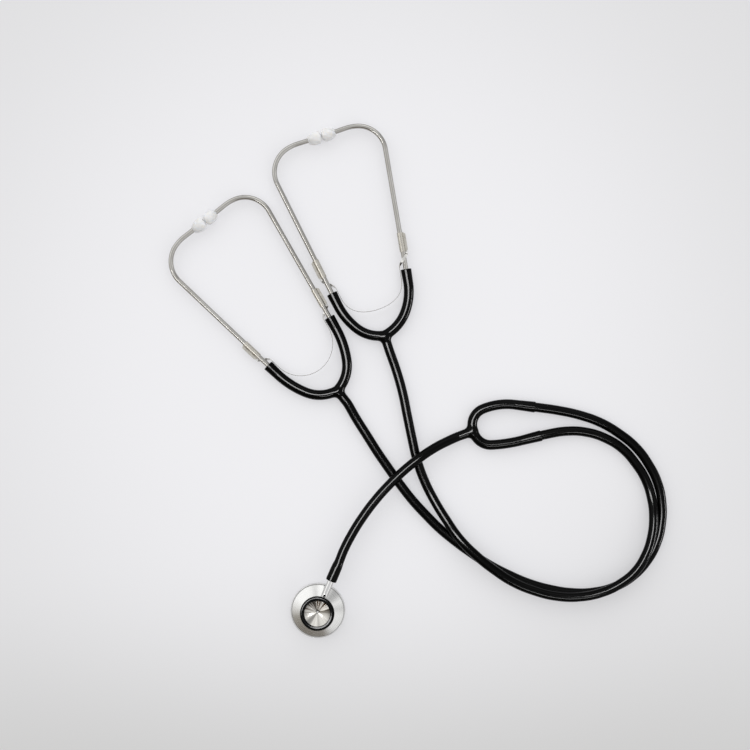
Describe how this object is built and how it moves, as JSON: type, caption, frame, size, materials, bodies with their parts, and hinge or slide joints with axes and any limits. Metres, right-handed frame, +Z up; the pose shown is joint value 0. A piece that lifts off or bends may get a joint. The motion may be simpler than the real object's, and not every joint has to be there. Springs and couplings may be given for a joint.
{
  "type": "teaching stethoscope",
  "caption": "Acoustic teaching stethoscope: a turnable chestpiece with diaphragm and bell, a forked hose, and sprung binaural headsets with ear tips, lying flat.",
  "frame": {"origin": "centre of the base of the box round the chestpiece and headsets, without the hoses, on the surface they lie on", "axes": "+Z up from that surface, +Y from the chestpiece towards the ear tips"},
  "size_m": [0.4379, 0.4522, 0.0235],
  "materials": {
    "turned_aluminium": "satin, finely turned",
    "polished_ring": "polished plate",
    "soft_black_rim": "smooth, glossy",
    "diaphragm_film": "smooth glass-fibre sheet",
    "plated_stem": "bright plate",
    "spring_steel": "bright drawn steel",
    "sheet_clip": "satin pressed sheet",
    "plated_tube": "bright nickel plate",
    "black_hose": "smooth, glossy soft moulding",
    "milky_tip": "smooth, translucent milky moulding"
  },
  "bodies": {
    "hoses": {"chest_hose": "black_hose", "chest_yoke": "black_hose", "upper_joiner": "plated_stem", "lower_joiner": "plated_stem", "hose_a": "black_hose", "hose_b": "black_hose", "stem": "plated_stem", "yoke_a": "black_hose", "leaf_spring_a": "spring_steel", "right_clip_a": "sheet_clip", "yoke_b": "black_hose", "leaf_spring_b": "spring_steel", "left_clip_b": "sheet_clip"},
    "chestpiece": {"chestpiece_head": "turned_aluminium", "bell_rim": "soft_black_rim", "diaphragm": "diaphragm_film", "diaphragm_ring": "polished_ring", "detent_ball": "spring_steel", "detent_spring": "spring_steel", "detent_screw": "spring_steel"},
    "free_arm_a_body": {"free_arm_a": "black_hose", "left_clip_a": "sheet_clip"},
    "left_tube_a_body": {"left_ear_tube_a": "plated_tube"},
    "left_tip_a_body": {"left_ear_tip_a": "milky_tip"},
    "right_tube_a_body": {"right_ear_tube_a": "plated_tube"},
    "right_tip_a_body": {"right_ear_tip_a": "milky_tip"},
    "free_arm_b_body": {"free_arm_b": "black_hose", "right_clip_b": "sheet_clip"},
    "left_tube_b_body": {"left_ear_tube_b": "plated_tube"},
    "left_tip_b_body": {"left_ear_tip_b": "milky_tip"},
    "right_tube_b_body": {"right_ear_tube_b": "plated_tube"},
    "right_tip_b_body": {"right_ear_tip_b": "milky_tip"}
  },
  "joints": [
    {"name": "chestpiece_turn", "type": "hinge", "parent": "hoses", "child": "chestpiece", "pos_m": [-0.033, -0.2021, 0.0115], "axis": [0.3947, 0.9188, 0], "continuous": true},
    {"name": "headset_a_spread", "type": "hinge", "parent": "hoses", "child": "free_arm_a_body", "pos_m": [-0.02531, -0.01192, 0.00472], "axis": [0.0042, -0.0054, 1], "range_deg": [0, 30], "stiffness_Nm_per_rad": 0.9, "springref_deg": -11.46, "deforming": ["leaf_spring_a"]},
    {"name": "left_ear_tube_a_twist", "type": "hinge", "parent": "free_arm_a_body", "child": "left_tube_a_body", "pos_m": [-0.07689, 0.01364, 0.00508], "axis": [-0.7254, 0.6883, 0.0068], "range_deg": [-20, 20]},
    {"name": "left_ear_tip_a_turn", "type": "hinge", "parent": "left_tube_a_body", "child": "left_tip_a_body", "pos_m": [-0.1425, 0.13257, 0.006], "axis": [0.7955, 0.606, -0.0001], "continuous": true},
    {"name": "right_ear_tube_a_twist", "type": "hinge", "parent": "hoses", "child": "right_tube_a_body", "pos_m": [-0.02291, 0.05596, 0.00508], "axis": [0.4954, -0.8686, -0.0068], "range_deg": [-20, 20]},
    {"name": "right_ear_tip_a_turn", "type": "hinge", "parent": "right_tube_a_body", "child": "right_tip_a_body", "pos_m": [-0.12276, 0.14805, 0.006], "axis": [-0.7782, -0.628, -0.0001], "continuous": true},
    {"name": "left_ear_tube_b_twist", "type": "hinge", "parent": "hoses", "child": "left_tube_b_body", "pos_m": [-0.02081, 0.07684, 0.00504], "axis": [-0.4462, 0.8949, 0.0068], "range_deg": [-20, 20]},
    {"name": "left_ear_tip_b_turn", "type": "hinge", "parent": "left_tube_b_body", "child": "left_tip_b_body", "pos_m": [-0.04178, 0.21105, 0.00596], "axis": [0.9548, 0.2974, -0.0001], "continuous": true},
    {"name": "headset_b_spread", "type": "hinge", "parent": "hoses", "child": "free_arm_b_body", "pos_m": [0.03366, 0.04557, 0.00472], "axis": [-0.0021, 0.0065, -1], "range_deg": [0, 30], "stiffness_Nm_per_rad": 0.9, "springref_deg": -11.46, "deforming": ["leaf_spring_b"]},
    {"name": "right_ear_tube_b_twist", "type": "hinge", "parent": "free_arm_b_body", "child": "right_tube_b_body", "pos_m": [0.0444, 0.09816, 0.00504], "axis": [0.1685, -0.9857, -0.0068], "range_deg": [-20, 20]},
    {"name": "right_ear_tip_b_turn", "type": "hinge", "parent": "right_tube_b_body", "child": "right_tip_b_body", "pos_m": [-0.01794, 0.21885, 0.00596], "axis": [-0.9461, -0.3239, -0.0001], "continuous": true}
  ]
}
